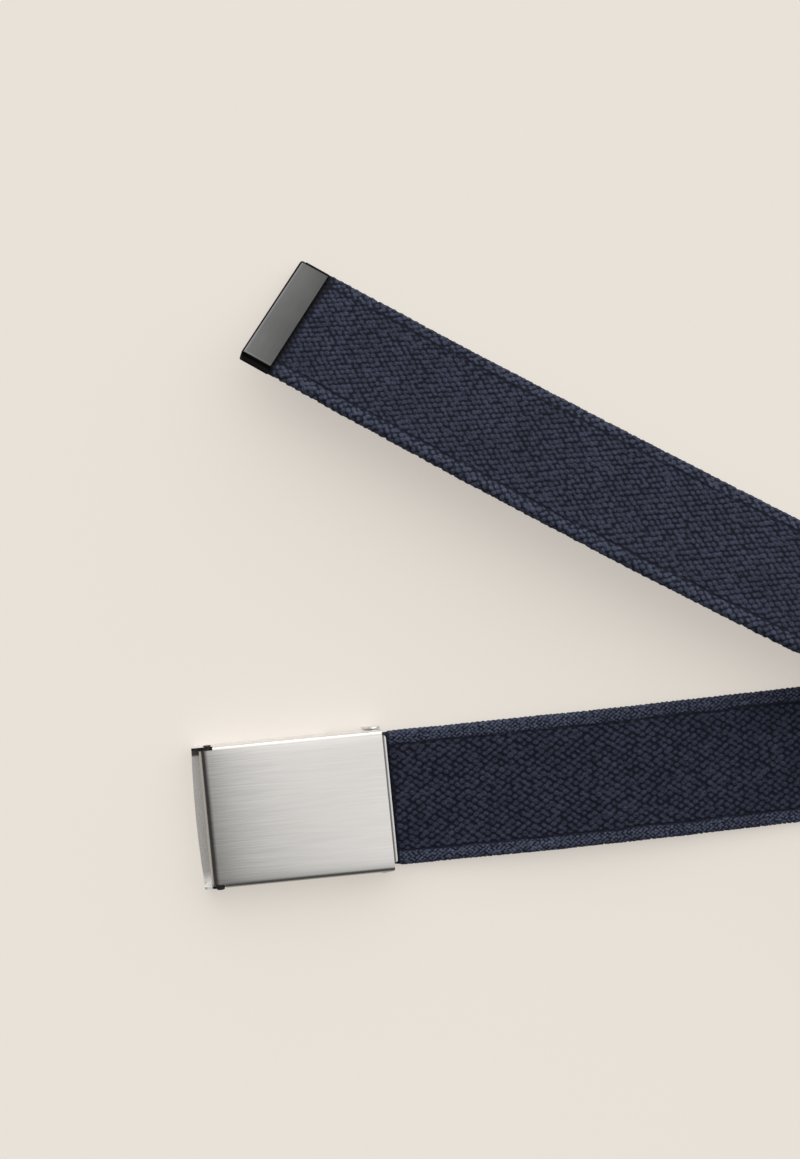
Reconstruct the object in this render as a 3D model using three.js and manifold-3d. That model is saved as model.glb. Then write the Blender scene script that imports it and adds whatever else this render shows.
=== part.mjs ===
// Webbing belt with a flat flip-top clamp buckle and a folded metal end tip, lying on a table.
// Millimetres, +Z up, the table at z = 0. The buckle's middle is at the origin and the strand that it
// is fixed to leaves it along +X.
import * as THREE from "three";
import { mergeVertices } from "three/addons/utils/BufferGeometryUtils.js";
import Module from "manifold-3d";

const wasm = await Module();
wasm.setup();

const { degToRad } = THREE.MathUtils;

// Strap
const STRAP_WIDTH = 38;
const STRAP_THICK = 2.5;
const STRAP_EDGE_CUT = 0.7;
const STRAP_STEPS = 176;
const STRAP_END_X = 9;
// Its run in plan: each stretch's length, and how much it turns to the left per mm at its two ends
const LOOP_BEND = -1 / 58;
const LEAD_LENGTH = 22;
const LEAD_BEND = degToRad(0.43) / LEAD_LENGTH;
const TAIL_LENGTH = 151.6;
const TAIL_BEND = degToRad(-2.46) / TAIL_LENGTH;
const STRAP_RUNS = [
  { run: "clamped in the buckle", length: 19, from: 0, to: 0 },
  { run: "leaving the buckle", length: LEAD_LENGTH, from: LEAD_BEND, to: LEAD_BEND },
  { run: "buckle strand", length: 346.7, from: 0, to: 0 },
  { run: "into the loop", length: 90, from: 0, to: LOOP_BEND },
  { run: "round the loop", length: 125.4, from: LOOP_BEND, to: LOOP_BEND },
  { run: "out of the loop", length: 90, from: LOOP_BEND, to: 0 },
  { run: "tail strand, crossing over", length: 278.8, from: 0, to: 0 },
  { run: "tail strand, free end", length: TAIL_LENGTH, from: TAIL_BEND, to: TAIL_BEND },
];
const STRAP_LENGTH = STRAP_RUNS.reduce((sum, run) => sum + run.length, 0);
const LINE_STEP = 0.5;
// Height of the strap's lower edge over the table along its length, with the slope there
const STRAP_LIFT = [
  { at: 0, value: 1.4, slope: 0 },
  { at: 19, value: 1.4, slope: 0 },
  { at: 76, value: 4.2, slope: 0 },
  { at: 150, value: 0.2, slope: 0 },
  { at: 770, value: 0.2, slope: 0 },
  { at: 818, value: 3.4, slope: 0 },
  { at: 915, value: 3.4, slope: 0 },
  { at: 1030, value: 4, slope: 0 },
  { at: STRAP_LENGTH, value: 0.8, slope: -0.02 },
];
// Roll in degrees: 0 lies flat, 90 stands on the lower edge
const STRAP_ROLL = [
  { at: 0, value: 0, slope: 0 },
  { at: 238, value: 0, slope: 0 },
  { at: 440, value: 90, slope: 0 },
  { at: 668, value: 90, slope: 0 },
  { at: 974, value: 24.6, slope: 0.006 },
  { at: STRAP_LENGTH, value: 28.6, slope: 0.046 },
];

// Tip: a folded sheet cap, open toward the strap
const TIP_LENGTH = 9.2;
const TIP_WIDTH = 37.8;
const TIP_THICK = 4.3;
const TIP_WALL = 0.6;
const TIP_SIDE_WALL = 1.2;
const TIP_FACE_ROUND = 1.4;
const TIP_BACK_ROUND = 0.7;
const TIP_CORNER_ROUND = 0.8;
const TIP_FAR_CORNER_ROUND = 1.3;
const TIP_GAP = 0.3;
// Each side wall, folded down from the face, leaves a seam over the back sheet, and the one at the strap's
// lower edge stops short of the far end
const TIP_SEAM_DEPTH = 0.35;
const TIP_SEAM_WIDTH = 0.25;
const TIP_SEAM_HEIGHT = 0.9;
const TIP_STEP_DEPTH = 0.8;
const TIP_STEP_AT = TIP_LENGTH - 1.7;
const TIP_CAVITY_WIDTH = TIP_WIDTH - 2 * TIP_SIDE_WALL;
// The strap narrows over this length to go into the tip
const STRAP_NECK_LENGTH = 1;
const STRAP_IN_TIP_WIDTH = TIP_CAVITY_WIDTH - 2 * TIP_GAP;

// Buckle
const SHEET = 0.9;
const SHEET_BEND = 1.2;
const CORNER_EASE = 0.3;
const BUCKLE_HALF_WIDTH = 20.2;
const BUCKLE_TOP = 10.05;
const LONG_EDGE_ROUND = 1.2;

// Frame: floor at the left with a slightly bowed end, raised deck at the right ending in a lip, two side walls
const FLOOR_LEFT = -30;
const FLOOR_CORNER_LEFT = -28.4;
const FLOOR_CORNER_ROUND = 0.8;
const FLOOR_BOW_LEFT = -29.6;
const FLOOR_BOW_ROUND = 19;
const STEP_START = 1.9;
const STEP_END = 8.1;
const STEP_LEAN = 0.3;
const DECK_UNDER = 4.05;
const DECK_RIGHT = 26.4;
const LIP_LEFT = 23.4;
const LIP_RIGHT = 27.85;
const LIP_HALF_WIDTH = 18.3;
const LIP_CORNER = 0.8;
const WALL_THICK = 0.7;
const WALL_INSIDE = BUCKLE_HALF_WIDTH - WALL_THICK;
const WALL_MIDDLE = BUCKLE_HALF_WIDTH - WALL_THICK / 2;
const WALL_LEFT = -27.75;
const WALL_TOP = 5.6;
const WALL_RIGHT = 26.6;
const WALL_CORNER = 1;
const NOTCH_LEFT = 10.4;
const NOTCH_HEIGHT = 1.35;
// Ears round the lid's pin, and the high shoulder beside the tail's mouth
const EAR_RIGHT = -21.75;
const EAR_LEFT = -24.3;
const EAR_TOP = 9.6;
const EAR_ROUND = 1.3;
const EAR_FILLET = 0.4;
const EAR_HOLE_RADIUS = 0.95;
const SHOULDER_RIGHT = -25.4;
const SHOULDER_TOP = 8.9;

// Lid: plate, side flanges, the roll round its pin and a toothed cam that presses on the tail
const HINGE_X = -23.1;
const HINGE_Z = 8.3;
const LID_UNDER = BUCKLE_TOP - SHEET;
const LID_RIGHT = 26.95;
const LID_CORNER = 1;
const LID_WIDE_LEFT = -21.5;
const LID_NECK_RIGHT = -20.5;
const LID_NECK_HALF_WIDTH = 19.2;
const LID_BORE_RADIUS = 1.05;
const FLANGE_BOTTOM = 5.9;
const FLANGE_RIGHT = 26.3;
const CAM_HALF_WIDTH = 17.6;
const CAM_REACH = 5.5;
const CAM_TOOTH_PITCH = 2.2;
const CAM_TOOTH_DEPTH = 0.7;
// The roll that the plate ends in, and the cam's corners, from the hinge's axis
const ROLL_PROFILE = [
  { x: 1.75, z: BUCKLE_TOP - HINGE_Z, rounding: 0 },
  { x: -2.5, z: BUCKLE_TOP - HINGE_Z, rounding: 2 },
  { x: -2.5, z: -1.1, rounding: 0.8 },
  { x: 0, z: -1.6, rounding: 0 },
  { x: 1.75, z: LID_UNDER - HINGE_Z, rounding: 0 },
];
const CAM_PROFILE = [
  { x: -1.2, z: -0.9, rounding: 0 },
  { x: -0.5, z: -CAM_REACH, rounding: 0.2 },
  { x: 0.7, z: -CAM_REACH, rounding: 0.2 },
  { x: 1.65, z: -0.3, rounding: 0 },
];

// Pin of the lid, with a low riveted head outside each ear
const LID_PIN_RADIUS = 0.8;
const PIN_HEAD_RADIUS = 1.15;
const PIN_HEAD_INSIDE = BUCKLE_HALF_WIDTH + 0.1;
const PIN_HEAD_OUTSIDE = PIN_HEAD_INSIDE + 0.4;
const PIN_HEAD_CUT = 0.2;

// Jaw that grips the strap's fixed end from below
const JAW_PIVOT_X = 24.4;
const JAW_PIVOT_Z = 2.9;
const JAW_LEFT = 11.3;
const JAW_RIGHT = 23;
const JAW_SHOULDER_LEFT = 20;
const JAW_SHOULDER_RIGHT = 21;
const JAW_NECK_HALF_WIDTH = WALL_INSIDE - 0.3;
const JAW_TOOTH_TOP = 1.3;
const JAW_TOOTH_ROOT = 0.8;
const JAW_TOOTH_PITCH = 2.4;
const JAW_TOOTH_LENGTH = 1.1;
const JAW_TEETH = 15;
const JAW_EAR_INSIDE = BUCKLE_HALF_WIDTH + 0.25;
const JAW_EAR_OUTSIDE = JAW_EAR_INSIDE + 0.5;
const JAW_EAR_RADIUS = 2;
const JAW_STUD_RADIUS = 0.95;
const JAW_STUD_INSIDE = WALL_INSIDE + 0.1;
const JAW_STUD_OUTSIDE = JAW_EAR_INSIDE + 0.4;
const JAW_HOLE_RADIUS = 1.2;
// Each ear's foot, from the pivot
const JAW_EAR_FOOT = [
  { x: -3.4, z: -2.8, rounding: 0 },
  { x: -1.35, z: -2.8, rounding: 0 },
  { x: 1.3, z: -1.3, rounding: 0 },
  { x: 0, z: 1, rounding: 0 },
  { x: -1.9, z: 0.4, rounding: 0 },
  { x: -3.4, z: -2, rounding: 0 },
];

const ROUND_SIDES = 32;
const ARC_STEPS = 6;
// How far a cutting tool runs past what it cuts
const PAST = 1;

const LOOKS = {
  webbing: { color: 0x2b3243, roughness: 0.95, metalness: 0 },
  tip: { color: 0x636363, roughness: 0.4, metalness: 1 },
  lid: { color: 0xc4c2be, roughness: 0.35, metalness: 1 },
  frame: { color: 0xaaa8a4, roughness: 0.35, metalness: 1 },
  pin: { color: 0x8f8d8a, roughness: 0.3, metalness: 1 },
  jaw: { color: 0x9a9895, roughness: 0.4, metalness: 1 },
};

// A closed outline from corners [x, y, rounding]
function outline(corners) {
  const shape = new THREE.Shape();
  corners.forEach(([x, y, rounding = 0], index) => {
    const corner = new THREE.Vector2(x, y);
    const [beforeX, beforeY] = corners[(index + corners.length - 1) % corners.length];
    const [afterX, afterY] = corners[(index + 1) % corners.length];
    const start = new THREE.Vector2(beforeX, beforeY).sub(corner).setLength(rounding).add(corner);
    const end = new THREE.Vector2(afterX, afterY).sub(corner).setLength(rounding).add(corner);
    if (index === 0) shape.moveTo(start.x, start.y);
    else shape.lineTo(start.x, start.y);
    if (rounding > 0) shape.quadraticCurveTo(corner.x, corner.y, end.x, end.y);
  });
  shape.closePath();
  return shape;
}

function extruded(shape, depth) {
  return new THREE.ExtrudeGeometry(shape, { depth, bevelEnabled: false, curveSegments: ARC_STEPS });
}

function solid(geometry) {
  const bare = geometry.clone();
  bare.deleteAttribute("normal");
  bare.deleteAttribute("uv");
  const merged = mergeVertices(bare, 1e-4);
  return new wasm.Manifold(
    new wasm.Mesh({
      numProp: 3,
      vertProperties: new Float32Array(merged.attributes.position.array),
      triVerts: new Uint32Array(merged.index.array),
    }),
  );
}

function meshOf(name, body, look) {
  const { vertProperties, triVerts } = body.getMesh();
  const geometry = new THREE.BufferGeometry();
  geometry.setAttribute("position", new THREE.BufferAttribute(new Float32Array(vertProperties), 3));
  geometry.setIndex(new THREE.BufferAttribute(new Uint32Array(triVerts), 1));
  geometry.computeVertexNormals();
  const made = new THREE.Mesh(geometry, new THREE.MeshStandardMaterial(LOOKS[look]));
  made.name = name;
  return made;
}

// Side profile in X and Z, carried across the buckle from y = low to y = high
function across(corners, [low, high]) {
  const geometry = extruded(outline(corners), high - low);
  geometry.rotateX(Math.PI / 2);
  geometry.translate(0, high, 0);
  return solid(geometry);
}

// Section in Y and Z, carried along the buckle from x = low to x = high
function along(corners, [low, high]) {
  const geometry = extruded(outline(corners), high - low);
  const yAxis = new THREE.Vector3(0, 1, 0);
  const zAxis = new THREE.Vector3(0, 0, 1);
  const xAxis = new THREE.Vector3(1, 0, 0);
  geometry.applyMatrix4(new THREE.Matrix4().makeBasis(yAxis, zAxis, xAxis));
  geometry.translate(low, 0, 0);
  return solid(geometry);
}

// Plan outline in X and Y, raised from z = low to z = high
function raised(corners, [low, high]) {
  const geometry = extruded(outline(corners), high - low);
  geometry.translate(0, 0, low);
  return solid(geometry);
}

// Round bar along Y
function bar(x, z, radius, [low, high]) {
  const geometry = new THREE.CylinderGeometry(radius, radius, high - low, ROUND_SIDES);
  geometry.translate(x, (low + high) / 2, z);
  return solid(geometry);
}

function box([lowX, highX], [lowY, highY], [lowZ, highZ]) {
  const geometry = new THREE.BoxGeometry(highX - lowX, highY - lowY, highZ - lowZ);
  geometry.translate((lowX + highX) / 2, (lowY + highY) / 2, (lowZ + highZ) / 2);
  return solid(geometry);
}

// The same piece at both sides: make gets the span across, from inner to outer on its own side
function bothSides(inner, outer, make) {
  return make([inner, outer]).add(make([-outer, -inner]));
}

function middle(halfWidth) {
  return [-halfWidth, halfWidth];
}

// A profile table's corners, moved to where its own origin sits
function placed(profile, x, z) {
  return profile.map((corner) => [x + corner.x, z + corner.z, corner.rounding]);
}

// Cubic curve through a table's stops
function through(stops, at) {
  const last = stops[stops.length - 1];
  if (at >= last.at) return last.value;
  const index = stops.findIndex((stop) => stop.at > at) - 1;
  const a = stops[index];
  const b = stops[index + 1];
  const length = b.at - a.at;
  const t = (at - a.at) / length;
  const t2 = t * t;
  const t3 = t2 * t;
  const towardB = 3 * t2 - 2 * t3;
  const fromSlopes = (t3 - 2 * t2 + t) * a.slope + (t3 - t2) * b.slope;
  return a.value + (b.value - a.value) * towardB + length * fromSlopes;
}

// The strap's middle line in plan, followed in short straight steps
function followRuns() {
  const points = [{ s: 0, x: STRAP_END_X, y: 0, heading: 0 }];
  for (const { length, from, to } of STRAP_RUNS) {
    const count = Math.round(length / LINE_STEP);
    const stride = length / count;
    for (let i = 0; i < count; i += 1) {
      const { s, x, y, heading } = points[points.length - 1];
      const turn = (from + ((to - from) * (i + 0.5)) / count) * stride;
      points.push({
        s: s + stride,
        x: x + Math.cos(heading + turn / 2) * stride,
        y: y + Math.sin(heading + turn / 2) * stride,
        heading: heading + turn,
      });
    }
  }
  return points;
}

const strapLine = followRuns();

// Height of the strap's middle line: the lower edge's, and half of the section's own height
function strapHeight(at) {
  const roll = degToRad(through(STRAP_ROLL, at));
  const halfSection = (STRAP_WIDTH * Math.sin(roll) + STRAP_THICK * Math.cos(roll)) / 2;
  return through(STRAP_LIFT, at) + halfSection;
}

// Place and axes of the strap's section at a distance along it: across, out of its upper face, forward
function strapFrame(at) {
  const found = strapLine.findIndex((point, index) => index > 0 && point.s >= at);
  const next = found < 0 ? strapLine.length - 1 : found;
  const a = strapLine[next - 1];
  const b = strapLine[next];
  const t = (at - a.s) / (b.s - a.s);
  const heading = a.heading + (b.heading - a.heading) * t;
  const roll = degToRad(through(STRAP_ROLL, at));
  const low = Math.max(at - LINE_STEP, 0);
  const high = Math.min(at + LINE_STEP, STRAP_LENGTH);
  const rise = (strapHeight(high) - strapHeight(low)) / (high - low);
  const forward = new THREE.Vector3(Math.cos(heading), Math.sin(heading), rise).normalize();
  const left = new THREE.Vector3(-Math.sin(heading), Math.cos(heading), 0);
  const up = new THREE.Vector3().crossVectors(forward, left);
  const wide = left.clone().multiplyScalar(Math.cos(roll)).addScaledVector(up, Math.sin(roll));
  const face = new THREE.Vector3().crossVectors(forward, wide);
  const x = a.x + (b.x - a.x) * t;
  const y = a.y + (b.y - a.y) * t;
  return new THREE.Matrix4().makeBasis(wide, face, forward).setPosition(x, y, strapHeight(at));
}

// The flat strap is extruded one unit for each place, then every place is laid on its run
function webbingStrap() {
  const half = STRAP_WIDTH / 2;
  const thick = STRAP_THICK / 2;
  const section = new THREE.Shape([
    new THREE.Vector2(half - STRAP_EDGE_CUT, -thick),
    new THREE.Vector2(half, -thick + STRAP_EDGE_CUT),
    new THREE.Vector2(half, thick - STRAP_EDGE_CUT),
    new THREE.Vector2(half - STRAP_EDGE_CUT, thick),
    new THREE.Vector2(-half + STRAP_EDGE_CUT, thick),
    new THREE.Vector2(-half, thick - STRAP_EDGE_CUT),
    new THREE.Vector2(-half, -thick + STRAP_EDGE_CUT),
    new THREE.Vector2(-half + STRAP_EDGE_CUT, -thick),
  ]);
  const tipMouth = STRAP_LENGTH - (TIP_LENGTH - TIP_WALL - TIP_GAP);
  const places = [];
  for (let i = 0; i <= STRAP_STEPS; i += 1) {
    places.push({ at: ((tipMouth - STRAP_NECK_LENGTH) * i) / STRAP_STEPS, width: STRAP_WIDTH });
  }
  places.push({ at: tipMouth - TIP_GAP, width: STRAP_IN_TIP_WIDTH });
  places.push({ at: STRAP_LENGTH, width: STRAP_IN_TIP_WIDTH });
  const steps = places.length - 1;
  const geometry = new THREE.ExtrudeGeometry(section, { depth: steps, steps, bevelEnabled: false });
  const frames = places.map(({ at }) => strapFrame(at));
  const position = geometry.attributes.position;
  const point = new THREE.Vector3();
  for (let i = 0; i < position.count; i += 1) {
    point.fromBufferAttribute(position, i);
    const place = Math.round(point.z);
    const squeeze = places[place].width / STRAP_WIDTH;
    point.set(point.x * squeeze, point.y, 0).applyMatrix4(frames[place]);
    position.setXYZ(i, point.x, point.y, point.z);
  }
  return meshOf("webbing_strap", solid(geometry), "webbing");
}

// Folded cap, closed at the end and both sides, made along +Z with its face on +Y, laid on the strap's end
function tipFerrule() {
  const half = TIP_WIDTH / 2;
  const thick = TIP_THICK / 2;
  const section = extruded(
    outline([
      [-half, -thick, TIP_BACK_ROUND],
      [half, -thick, TIP_BACK_ROUND],
      [half, thick, TIP_FACE_ROUND],
      [-half, thick, TIP_FACE_ROUND],
    ]),
    TIP_LENGTH,
  );
  const side = extruded(
    outline([
      [-thick, -PAST],
      [thick, -PAST],
      [thick, TIP_LENGTH, TIP_FACE_ROUND],
      [-thick, TIP_LENGTH, TIP_BACK_ROUND],
    ]),
    TIP_WIDTH,
  );
  side.rotateX(Math.PI / 2);
  side.rotateZ(Math.PI / 2);
  side.translate(-half, 0, 0);
  const face = extruded(
    outline([
      [-half, -PAST],
      [half, -PAST],
      [half, TIP_LENGTH, TIP_FAR_CORNER_ROUND],
      [TIP_STEP_DEPTH - half, TIP_LENGTH, TIP_CORNER_ROUND],
      [TIP_STEP_DEPTH - half, TIP_STEP_AT],
      [-half, TIP_STEP_AT, TIP_CORNER_ROUND],
    ]),
    TIP_THICK,
  );
  face.rotateX(Math.PI / 2);
  face.translate(0, thick, 0);
  const cavity = box(middle(TIP_CAVITY_WIDTH / 2), middle(thick - TIP_WALL), [-PAST, TIP_LENGTH - TIP_WALL]);
  const seamLow = TIP_SEAM_HEIGHT - thick;
  const seams = bothSides(half - TIP_SEAM_DEPTH, half + PAST, (spanX) =>
    box(spanX, [seamLow, seamLow + TIP_SEAM_WIDTH], [-PAST, TIP_STEP_AT]));
  const body = solid(section)
    .intersect(solid(side))
    .intersect(solid(face))
    .subtract(cavity)
    .subtract(seams);
  const tip = meshOf("tip_ferrule", body, "tip");
  const back = new THREE.Matrix4().makeTranslation(0, 0, TIP_WALL + TIP_GAP - TIP_LENGTH);
  tip.applyMatrix4(strapFrame(STRAP_LENGTH).multiply(back));
  return tip;
}

// Outer section of the lid, with its two long top edges rounded
function lidEnvelope() {
  return along(
    [
      [-BUCKLE_HALF_WIDTH, -PAST],
      [BUCKLE_HALF_WIDTH, -PAST],
      [BUCKLE_HALF_WIDTH, BUCKLE_TOP, LONG_EDGE_ROUND],
      [-BUCKLE_HALF_WIDTH, BUCKLE_TOP, LONG_EDGE_ROUND],
    ],
    [FLOOR_LEFT, LIP_RIGHT + PAST],
  );
}

// Floor, step and deck in one folded sheet, its left end cut to a slight bow
function frameTray() {
  const plan = raised(
    [
      [FLOOR_CORNER_LEFT, -WALL_MIDDLE, FLOOR_CORNER_ROUND],
      [DECK_RIGHT + PAST, -WALL_MIDDLE],
      [DECK_RIGHT + PAST, WALL_MIDDLE],
      [FLOOR_CORNER_LEFT, WALL_MIDDLE, FLOOR_CORNER_ROUND],
      [FLOOR_BOW_LEFT, 0, FLOOR_BOW_ROUND],
    ],
    [-PAST, BUCKLE_TOP],
  );
  const sheet = across(
    [
      [FLOOR_LEFT, 0],
      [STEP_START + STEP_LEAN, 0, SHEET_BEND],
      [STEP_END, DECK_UNDER, SHEET_BEND],
      [DECK_RIGHT, DECK_UNDER],
      [DECK_RIGHT, DECK_UNDER + SHEET],
      [STEP_END - STEP_LEAN, DECK_UNDER + SHEET, SHEET_BEND],
      [STEP_START, SHEET, SHEET_BEND],
      [FLOOR_LEFT, SHEET],
    ],
    middle(WALL_MIDDLE),
  );
  return sheet.intersect(plan);
}

function frameLip() {
  return raised(
    [
      [LIP_LEFT, -LIP_HALF_WIDTH],
      [LIP_RIGHT, -LIP_HALF_WIDTH, LIP_CORNER],
      [LIP_RIGHT, LIP_HALF_WIDTH, LIP_CORNER],
      [LIP_LEFT, LIP_HALF_WIDTH],
    ],
    [DECK_UNDER, DECK_UNDER + SHEET],
  );
}

function frameWall(spanY) {
  return across(
    [
      [WALL_LEFT, 0, CORNER_EASE],
      [NOTCH_LEFT, 0],
      [NOTCH_LEFT, NOTCH_HEIGHT, CORNER_EASE],
      [WALL_RIGHT, NOTCH_HEIGHT, WALL_CORNER],
      [WALL_RIGHT, WALL_TOP, WALL_CORNER],
      [EAR_RIGHT, WALL_TOP, CORNER_EASE],
      [EAR_RIGHT, EAR_TOP, EAR_ROUND],
      [EAR_LEFT, EAR_TOP, EAR_FILLET],
      [SHOULDER_RIGHT, SHOULDER_TOP, EAR_FILLET],
      [WALL_LEFT, SHOULDER_TOP, WALL_CORNER],
    ],
    spanY,
  );
}

function buckleFrame() {
  const pinHole = bar(HINGE_X, HINGE_Z, EAR_HOLE_RADIUS, middle(BUCKLE_HALF_WIDTH + PAST));
  const studHoles = bothSides(WALL_INSIDE - PAST, BUCKLE_HALF_WIDTH + PAST, (spanY) =>
    bar(JAW_PIVOT_X, JAW_PIVOT_Z, JAW_HOLE_RADIUS, spanY));
  const body = frameTray()
    .add(frameLip())
    .add(bothSides(WALL_INSIDE, BUCKLE_HALF_WIDTH, frameWall))
    .subtract(pinHole)
    .subtract(studHoles);
  return meshOf("buckle_frame", body, "frame");
}

function lidPlate() {
  const cover = raised(
    [
      [LID_WIDE_LEFT, -BUCKLE_HALF_WIDTH],
      [LID_RIGHT, -BUCKLE_HALF_WIDTH, LID_CORNER],
      [LID_RIGHT, BUCKLE_HALF_WIDTH, LID_CORNER],
      [LID_WIDE_LEFT, BUCKLE_HALF_WIDTH],
    ],
    [LID_UNDER, BUCKLE_TOP],
  );
  const neck = raised(
    [
      [HINGE_X, -LID_NECK_HALF_WIDTH],
      [LID_NECK_RIGHT, -LID_NECK_HALF_WIDTH],
      [LID_NECK_RIGHT, LID_NECK_HALF_WIDTH],
      [HINGE_X, LID_NECK_HALF_WIDTH],
    ],
    [LID_UNDER, BUCKLE_TOP],
  );
  return cover.add(neck);
}

function lidFlange(spanY) {
  const insidePlate = LID_UNDER + CORNER_EASE;
  return across(
    [
      [LID_WIDE_LEFT, FLANGE_BOTTOM, CORNER_EASE],
      [FLANGE_RIGHT, FLANGE_BOTTOM, WALL_CORNER],
      [FLANGE_RIGHT, insidePlate],
      [LID_WIDE_LEFT, insidePlate],
    ],
    spanY,
  );
}

// The cam's edge is cut into teeth along Y
function lidCam() {
  const teeth = Math.floor((2 * CAM_HALF_WIDTH) / CAM_TOOTH_PITCH);
  const low = HINGE_Z - CAM_REACH - PAST / 2;
  const root = HINGE_Z - CAM_REACH + CAM_TOOTH_DEPTH;
  const comb = [[(-teeth / 2) * CAM_TOOTH_PITCH, root]];
  for (let tooth = 0; tooth < teeth; tooth += 1) {
    const start = (tooth - teeth / 2) * CAM_TOOTH_PITCH;
    comb.push([start + CAM_TOOTH_PITCH / 2, low]);
    comb.push([start + CAM_TOOTH_PITCH, root]);
  }
  comb.push([(teeth / 2) * CAM_TOOTH_PITCH, HINGE_Z + PAST]);
  comb.push([(-teeth / 2) * CAM_TOOTH_PITCH, HINGE_Z + PAST]);
  const blade = across(placed(CAM_PROFILE, HINGE_X, HINGE_Z), middle(CAM_HALF_WIDTH));
  return blade.intersect(along(comb, [HINGE_X - CAM_REACH, HINGE_X + CAM_REACH]));
}

function buckleLid() {
  const roll = across(placed(ROLL_PROFILE, HINGE_X, HINGE_Z), middle(LID_NECK_HALF_WIDTH));
  const bore = bar(HINGE_X, HINGE_Z, LID_BORE_RADIUS, middle(BUCKLE_HALF_WIDTH));
  const body = lidPlate()
    .add(bothSides(WALL_INSIDE, BUCKLE_HALF_WIDTH, lidFlange))
    .add(roll)
    .add(lidCam())
    .subtract(bore)
    .intersect(lidEnvelope());
  return meshOf("buckle_lid", body, "lid");
}

// Turned about its own axis, which lies along Y
function lidPin() {
  const profile = [
    new THREE.Vector2(0, -PIN_HEAD_OUTSIDE),
    new THREE.Vector2(PIN_HEAD_RADIUS - PIN_HEAD_CUT, -PIN_HEAD_OUTSIDE),
    new THREE.Vector2(PIN_HEAD_RADIUS, -PIN_HEAD_OUTSIDE + PIN_HEAD_CUT),
    new THREE.Vector2(PIN_HEAD_RADIUS, -PIN_HEAD_INSIDE),
    new THREE.Vector2(LID_PIN_RADIUS, -PIN_HEAD_INSIDE),
    new THREE.Vector2(LID_PIN_RADIUS, PIN_HEAD_INSIDE),
    new THREE.Vector2(PIN_HEAD_RADIUS, PIN_HEAD_INSIDE),
    new THREE.Vector2(PIN_HEAD_RADIUS, PIN_HEAD_OUTSIDE - PIN_HEAD_CUT),
    new THREE.Vector2(PIN_HEAD_RADIUS - PIN_HEAD_CUT, PIN_HEAD_OUTSIDE),
    new THREE.Vector2(0, PIN_HEAD_OUTSIDE),
  ];
  const geometry = new THREE.LatheGeometry(profile, ROUND_SIDES);
  geometry.translate(HINGE_X, 0, HINGE_Z);
  return meshOf("lid_pin", solid(geometry), "pin");
}

function jawPlate() {
  return raised(
    [
      [JAW_LEFT, -JAW_NECK_HALF_WIDTH],
      [JAW_SHOULDER_LEFT, -JAW_NECK_HALF_WIDTH],
      [JAW_SHOULDER_RIGHT, -JAW_EAR_OUTSIDE],
      [JAW_RIGHT, -JAW_EAR_OUTSIDE],
      [JAW_RIGHT, JAW_EAR_OUTSIDE],
      [JAW_SHOULDER_RIGHT, JAW_EAR_OUTSIDE],
      [JAW_SHOULDER_LEFT, JAW_NECK_HALF_WIDTH],
      [JAW_LEFT, JAW_NECK_HALF_WIDTH],
    ],
    [0, SHEET],
  );
}

// Row of teeth along the plate's left edge
function jawTeeth() {
  const half = (JAW_TEETH * JAW_TOOTH_PITCH) / 2;
  const base = SHEET / 2;
  const comb = [
    [-half, base],
    [half, base],
  ];
  for (let tooth = JAW_TEETH - 1; tooth >= 0; tooth -= 1) {
    const start = tooth * JAW_TOOTH_PITCH - half;
    comb.push([start + JAW_TOOTH_PITCH / 2, JAW_TOOTH_TOP]);
    if (tooth > 0) comb.push([start, JAW_TOOTH_ROOT]);
  }
  return along(comb, [JAW_LEFT, JAW_LEFT + JAW_TOOTH_LENGTH]);
}

function clampJaw() {
  const ears = bothSides(JAW_EAR_INSIDE, JAW_EAR_OUTSIDE, (spanY) =>
    bar(JAW_PIVOT_X, JAW_PIVOT_Z, JAW_EAR_RADIUS, spanY)
      .add(across(placed(JAW_EAR_FOOT, JAW_PIVOT_X, JAW_PIVOT_Z), spanY)));
  const studs = bothSides(JAW_STUD_INSIDE, JAW_STUD_OUTSIDE, (spanY) =>
    bar(JAW_PIVOT_X, JAW_PIVOT_Z, JAW_STUD_RADIUS, spanY));
  const body = jawPlate().add(jawTeeth()).add(ears).add(studs);
  return meshOf("clamp_jaw", body, "jaw");
}

const belt = new THREE.Group();
belt.add(webbingStrap(), tipFerrule(), buckleFrame(), buckleLid(), lidPin(), clampJaw());

export default belt;
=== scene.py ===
import math

import bpy
import numpy as np
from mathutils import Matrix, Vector


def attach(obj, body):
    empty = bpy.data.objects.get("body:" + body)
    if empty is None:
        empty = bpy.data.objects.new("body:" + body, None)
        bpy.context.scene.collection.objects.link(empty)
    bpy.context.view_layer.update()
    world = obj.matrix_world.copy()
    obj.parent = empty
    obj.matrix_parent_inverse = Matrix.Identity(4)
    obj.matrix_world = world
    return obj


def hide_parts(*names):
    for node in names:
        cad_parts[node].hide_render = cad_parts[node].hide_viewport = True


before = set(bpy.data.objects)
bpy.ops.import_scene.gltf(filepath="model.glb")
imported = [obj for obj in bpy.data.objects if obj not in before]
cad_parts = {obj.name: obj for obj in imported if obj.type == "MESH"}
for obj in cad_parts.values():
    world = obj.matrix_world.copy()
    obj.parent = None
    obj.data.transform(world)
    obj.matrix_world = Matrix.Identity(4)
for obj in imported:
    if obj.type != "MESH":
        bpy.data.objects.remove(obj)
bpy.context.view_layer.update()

# Navy webbing belt with a brushed flip-top clamp buckle and a folded metal tip, lying on a pale table.
# Metres. The table is z = 0, the buckle's middle is the origin and the buckle strand leaves it along +X.
# Sizes in the tables of the strap are millimetres along the strap, turned into metres by MM.
MM = 0.001

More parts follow.
